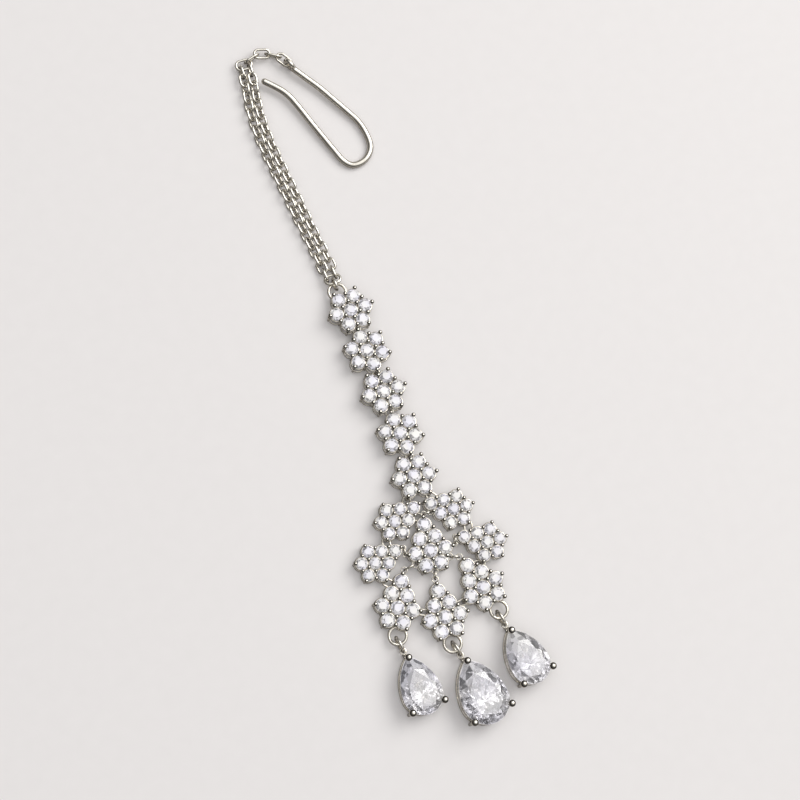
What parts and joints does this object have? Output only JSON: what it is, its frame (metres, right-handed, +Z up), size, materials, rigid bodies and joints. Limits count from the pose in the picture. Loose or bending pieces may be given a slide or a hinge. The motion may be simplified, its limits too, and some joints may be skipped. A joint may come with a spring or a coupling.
{
  "type": "maang tikka",
  "caption": "Hair-parting jewel: a wire hair hook, a double cable chain, a line of round-stone clusters and an open drop-shaped medallion of clusters with pear drops.",
  "frame": {"origin": "centre of the bounding box on the table the jewel lies on", "axes": "+Y from the pear drops towards the hair hook, +X to the right with the stones facing up, +Z up out of the stones' tables"},
  "size_m": [0.0278, 0.1201, 0.0049],
  "materials": {
    "bright_metal": "polished rhodium-coloured plate on brass",
    "clear_stone": "polished cut clear stones, closed behind by their own facets"
  },
  "bodies": {
    "root": {"centre_setting": "bright_metal", "centre_stones": "clear_stone", "chain_connector": "bright_metal", "chain_end_ring": "bright_metal", "chain_lead": "bright_metal", "chain_left": "bright_metal", "chain_right": "bright_metal", "drop_ring_left": "bright_metal", "drop_ring_middle": "bright_metal", "drop_ring_right": "bright_metal", "hair_hook": "bright_metal", "line_1_setting": "bright_metal", "line_1_stones": "clear_stone", "line_2_setting": "bright_metal", "line_2_stones": "clear_stone", "line_3_setting": "bright_metal", "line_3_stones": "clear_stone", "line_4_setting": "bright_metal", "line_4_stones": "clear_stone", "line_5_setting": "bright_metal", "line_5_stones": "clear_stone", "pear_left_setting": "bright_metal", "pear_left_stone": "clear_stone", "pear_middle_setting": "bright_metal", "pear_middle_stone": "clear_stone", "pear_right_setting": "bright_metal", "pear_right_stone": "clear_stone", "petal_bottom_setting": "bright_metal", "petal_bottom_stones": "clear_stone", "petal_lower_left_setting": "bright_metal", "petal_lower_left_stones": "clear_stone", "petal_lower_right_setting": "bright_metal", "petal_lower_right_stones": "clear_stone", "petal_middle_left_setting": "bright_metal", "petal_middle_left_stones": "clear_stone", "petal_middle_right_setting": "bright_metal", "petal_middle_right_stones": "clear_stone", "petal_upper_left_setting": "bright_metal", "petal_upper_left_stones": "clear_stone", "petal_upper_right_setting": "bright_metal", "petal_upper_right_stones": "clear_stone", "ring_centre_petal_bottom": "bright_metal", "ring_centre_petal_lower_left": "bright_metal", "ring_centre_petal_lower_right": "bright_metal", "ring_centre_petal_middle_left": "bright_metal", "ring_centre_petal_middle_right": "bright_metal", "ring_centre_petal_upper_right": "bright_metal", "ring_line_1_line_2": "bright_metal", "ring_line_2_line_3": "bright_metal", "ring_line_3_line_4": "bright_metal", "ring_line_4_line_5": "bright_metal", "ring_line_5_petal_upper_left": "bright_metal", "ring_line_5_petal_upper_right": "bright_metal", "ring_petal_bottom_petal_lower_right": "bright_metal", "ring_petal_lower_left_petal_bottom": "bright_metal", "ring_petal_middle_left_petal_lower_left": "bright_metal", "ring_petal_middle_right_petal_lower_right": "bright_metal", "ring_petal_upper_left_centre": "bright_metal", "ring_petal_upper_left_petal_middle_left": "bright_metal", "ring_petal_upper_right_petal_middle_right": "bright_metal"}
  },
  "joints": []
}
